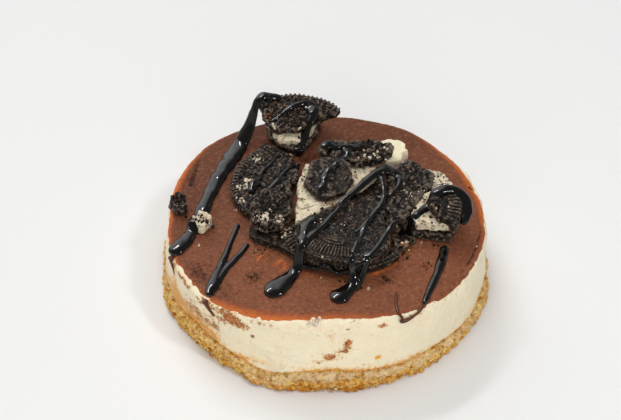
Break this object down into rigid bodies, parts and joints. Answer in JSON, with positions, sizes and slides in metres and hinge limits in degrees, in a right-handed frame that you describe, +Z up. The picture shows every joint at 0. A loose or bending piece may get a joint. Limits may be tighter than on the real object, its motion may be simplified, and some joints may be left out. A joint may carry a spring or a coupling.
{
  "type": "baked cheesecake",
  "caption": "Small round baked cheesecake on a crumb base, with a thin chocolate glaze, a pile of broken chocolate sandwich biscuits and thick chocolate syrup on top.",
  "frame": {"origin": "middle of the flat underside of the crumb base, on the surface that the cake stands on", "axes": "+Z up through the cake's axis; -Y is the side that faces the viewer in the picture, +X to the viewer's right"},
  "size_m": [0.106, 0.1051, 0.0404],
  "materials": {
    "biscuit_crumb": "golden, crumbly and matt",
    "baked_cream_cheese": "ivory, dense and slightly moist, with fine pores",
    "chocolate_glaze": "brown satin, orange where it thins at the rim",
    "dark_wafer": "near-black brown, crumbly and matt",
    "biscuit_cream": "off-white, firm, with dark crumbs in it",
    "chocolate_syrup": "near-black and very glossy"
  },
  "bodies": {
    "root": {"crumb_base": "biscuit_crumb", "cream_cheese_filling": "baked_cream_cheese", "chocolate_glaze": "chocolate_glaze", "rear_wafer_low": "dark_wafer", "left_wafer": "dark_wafer", "front_wafer_low": "dark_wafer", "middle_wafer": "dark_wafer", "right_wafer_low": "dark_wafer", "front_wafer": "dark_wafer", "left_crumble": "dark_wafer", "right_wafer": "dark_wafer", "rear_wafer_top": "dark_wafer", "centre_wafer": "dark_wafer", "rear_shard": "dark_wafer", "right_wafer_top": "dark_wafer", "right_crumble": "dark_wafer", "edge_crumb": "dark_wafer", "rear_cream": "biscuit_cream", "middle_cream": "biscuit_cream", "rear_cream_slab": "biscuit_cream", "right_cream_slab": "biscuit_cream", "right_cream": "biscuit_cream", "left_cream_crumb": "biscuit_cream"}
  },
  "joints": []
}
